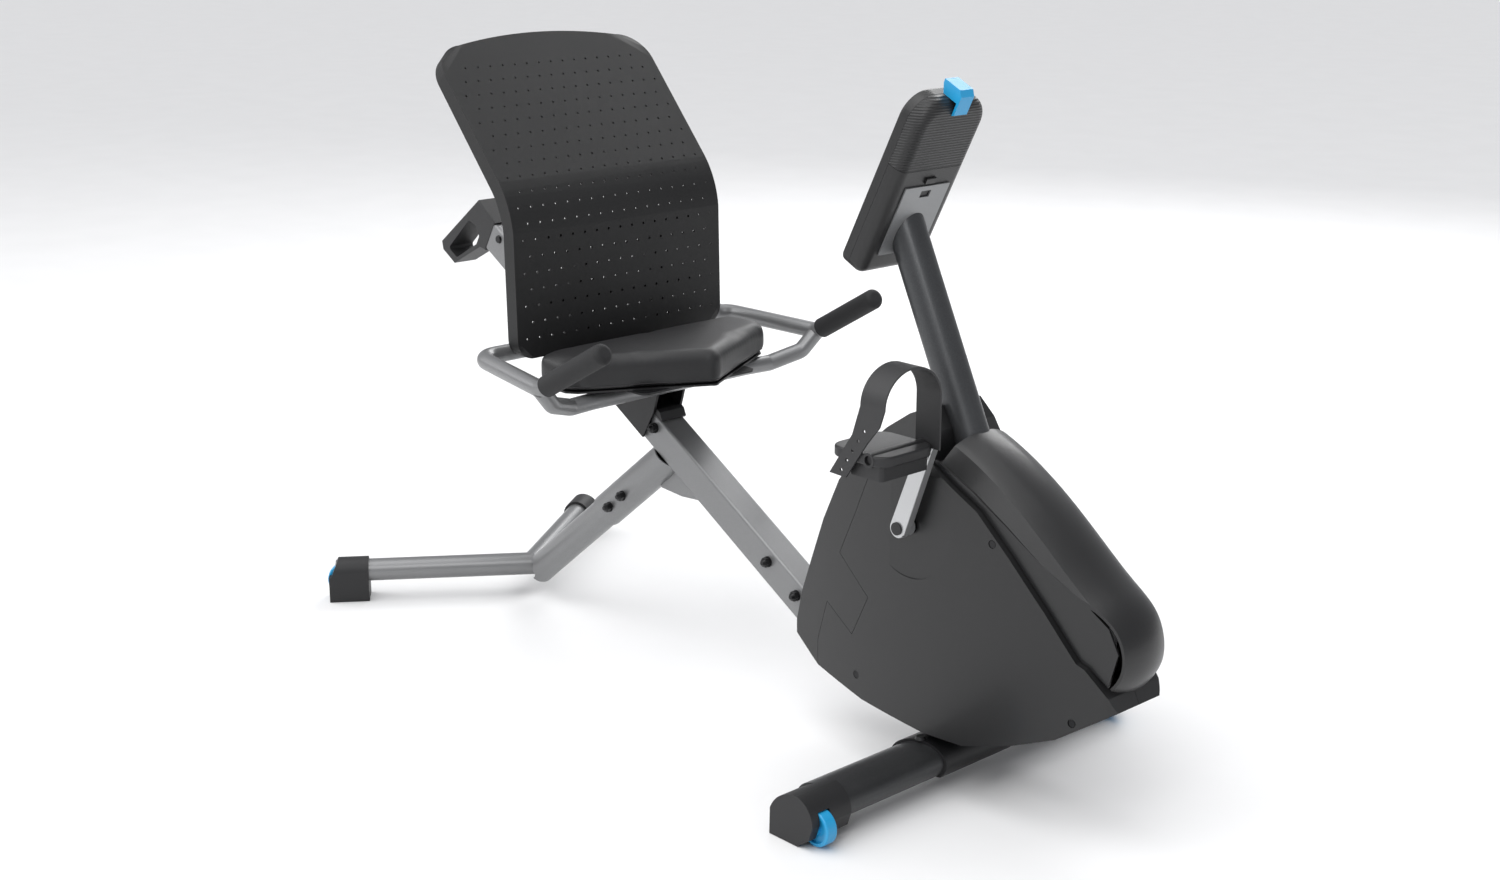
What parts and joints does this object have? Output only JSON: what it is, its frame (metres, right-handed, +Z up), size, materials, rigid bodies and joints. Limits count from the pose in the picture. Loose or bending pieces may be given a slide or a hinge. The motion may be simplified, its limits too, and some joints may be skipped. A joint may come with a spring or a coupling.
{
  "type": "recumbent exercise bike",
  "caption": "Recumbent exercise bike with a sliding seat on a sloped rail, side handlebars, enclosed flywheel drive, strapped pedals, a console on a mast and a levelled rear foot.",
  "frame": {"origin": "floor, under the middle of the footprint", "axes": "+X forward from seat to console, +Y to the rider's left, +Z up"},
  "size_m": [1.4661, 0.622, 0.9251],
  "materials": {
    "frame_silver": "fine metallic satin",
    "mast_grey": "metallic satin",
    "stabilizer_grey": "metallic satin",
    "cap_black": "matte moulded",
    "handle_grey": "matte moulded",
    "wheel_blue": "satin moulded",
    "housing_charcoal": "satin moulded",
    "cover_charcoal": "satin moulded",
    "console_black": "satin moulded",
    "key_grey": "matte",
    "lens_glass": "dark tinted",
    "bracket_grey": "satin",
    "inner_black": "satin",
    "bolt_steel": "black oxide",
    "crank_silver": "satin",
    "pedal_black": "matte moulded",
    "strap_rubber": "matte",
    "belt_rubber": "matte",
    "flywheel_iron": "machined",
    "cushion_vinyl": "soft matte vinyl",
    "back_plastic": "satin moulded",
    "grip_rubber": "soft foam"
  },
  "bodies": {
    "frame": {"seat_rail": "frame_silver", "rear_leg_upper": "frame_silver", "rear_leg_lower": "frame_silver", "rear_arm_right": "frame_silver", "rear_arm_left": "frame_silver", "rear_cap_right": "cap_black", "rear_cap_left": "cap_black", "frame_bolts": "bolt_steel", "carry_handle": "handle_grey", "front_stabilizer": "stabilizer_grey", "front_cap_right": "cap_black", "front_cap_left": "cap_black", "wheel_pins": "bolt_steel", "drive_frame": "inner_black", "mast": "mast_grey", "bearings": "bolt_steel", "housing_right": "housing_charcoal", "housing_left": "housing_charcoal", "rear_cover": "housing_charcoal", "front_cover": "cover_charcoal", "housing_screws": "bolt_steel", "drive_belt": "belt_rubber", "console_bracket": "bracket_grey", "console_back_upper": "console_black", "console_back_lower": "console_black", "console_front": "console_black", "display_lens": "lens_glass"},
    "crankset": {"crank_axle": "bolt_steel", "crank_right": "crank_silver", "crank_left": "crank_silver", "crank_caps": "cap_black", "drive_pulley": "pedal_black", "pedal_spindles": "bolt_steel"},
    "pedal_right_body": {"pedal_right": "pedal_black", "pedal_strap_right": "strap_rubber"},
    "pedal_left_body": {"pedal_left": "pedal_black", "pedal_strap_left": "strap_rubber"},
    "flywheel_body": {"flywheel": "flywheel_iron"},
    "transport_wheel_right_body": {"transport_wheel_right": "wheel_blue"},
    "transport_wheel_left_body": {"transport_wheel_left": "wheel_blue"},
    "leveling_wheel_right_body": {"leveling_wheel_right": "wheel_blue"},
    "leveling_wheel_left_body": {"leveling_wheel_left": "wheel_blue"},
    "seat": {"seat_carriage": "inner_black", "carriage_lip": "cap_black", "seat_frame": "inner_black", "seat_board": "cap_black", "seat_cushion": "cushion_vinyl", "backrest": "back_plastic", "handlebar": "frame_silver", "grip_right": "grip_rubber", "grip_left": "grip_rubber"},
    "seat_lock_knob_body": {"seat_lock_knob": "cap_black"},
    "tablet_clip_body": {"tablet_clip": "wheel_blue"},
    "console_key_right_body": {"console_key_right": "key_grey"},
    "console_key_left_body": {"console_key_left": "key_grey"},
    "console_latch_body": {"console_latch": "console_black"}
  },
  "joints": [
    {"name": "crank_spin", "type": "hinge", "parent": "frame", "child": "crankset", "pos_m": [0.409, 0, 0.359], "axis": [0, 1, 0], "continuous": true},
    {"name": "pedal_right_spin", "type": "hinge", "parent": "crankset", "child": "pedal_right_body", "pos_m": [0.45516, -0.155, 0.48053], "axis": [0, 1, 0], "continuous": true},
    {"name": "pedal_left_spin", "type": "hinge", "parent": "crankset", "child": "pedal_left_body", "pos_m": [0.36284, 0.155, 0.23747], "axis": [0, 1, 0], "continuous": true},
    {"name": "flywheel_spin", "type": "hinge", "parent": "frame", "child": "flywheel_body", "pos_m": [0.59, 0, 0.262], "axis": [0, 1, 0], "continuous": true},
    {"name": "transport_wheel_right_spin", "type": "hinge", "parent": "frame", "child": "transport_wheel_right_body", "pos_m": [0.463, -0.288, 0.025], "axis": [0, 1, 0], "continuous": true},
    {"name": "leveling_wheel_right_turn", "type": "hinge", "parent": "frame", "child": "leveling_wheel_right_body", "pos_m": [-0.69563, -0.24999, 0.03], "axis": [0.809, -0.5878, 0], "range_deg": [0, 180]},
    {"name": "transport_wheel_left_spin", "type": "hinge", "parent": "frame", "child": "transport_wheel_left_body", "pos_m": [0.463, 0.288, 0.025], "axis": [0, 1, 0], "continuous": true},
    {"name": "leveling_wheel_left_turn", "type": "hinge", "parent": "frame", "child": "leveling_wheel_left_body", "pos_m": [-0.69563, 0.24999, 0.03], "axis": [0.809, 0.5878, 0], "range_deg": [0, 180]},
    {"name": "seat_slide", "type": "slide", "parent": "frame", "child": "seat", "axis": [-0.859, 0, 0.512], "range_m": [0, 0.24]},
    {"name": "seat_lock_turn", "type": "hinge", "parent": "seat", "child": "seat_lock_knob_body", "pos_m": [-0.2509, 0.05, 0.4056], "axis": [0, 1, 0], "range_deg": [0, 90]},
    {"name": "tablet_clip_pull", "type": "slide", "parent": "frame", "child": "tablet_clip_body", "axis": [0.454, 0, 0.891], "range_m": [0, 0.04], "stiffness_N_per_m": 200, "springref_m": -0.005},
    {"name": "console_key_right_press", "type": "slide", "parent": "frame", "child": "console_key_right_body", "axis": [0.891, 0, -0.454], "range_m": [0, 0.0012], "stiffness_N_per_m": 500, "springref_m": -0.0005},
    {"name": "console_key_left_press", "type": "slide", "parent": "frame", "child": "console_key_left_body", "axis": [0.891, 0, -0.454], "range_m": [0, 0.0012], "stiffness_N_per_m": 500, "springref_m": -0.0005},
    {"name": "console_latch_slide", "type": "slide", "parent": "frame", "child": "console_latch_body", "axis": [-0.454, 0, -0.891], "range_m": [0, 0.003], "stiffness_N_per_m": 300, "springref_m": -0.001}
  ],
  "couplings": [
    {"joint": "flywheel_spin", "follows": "crank_spin", "ratio": 8}
  ]
}
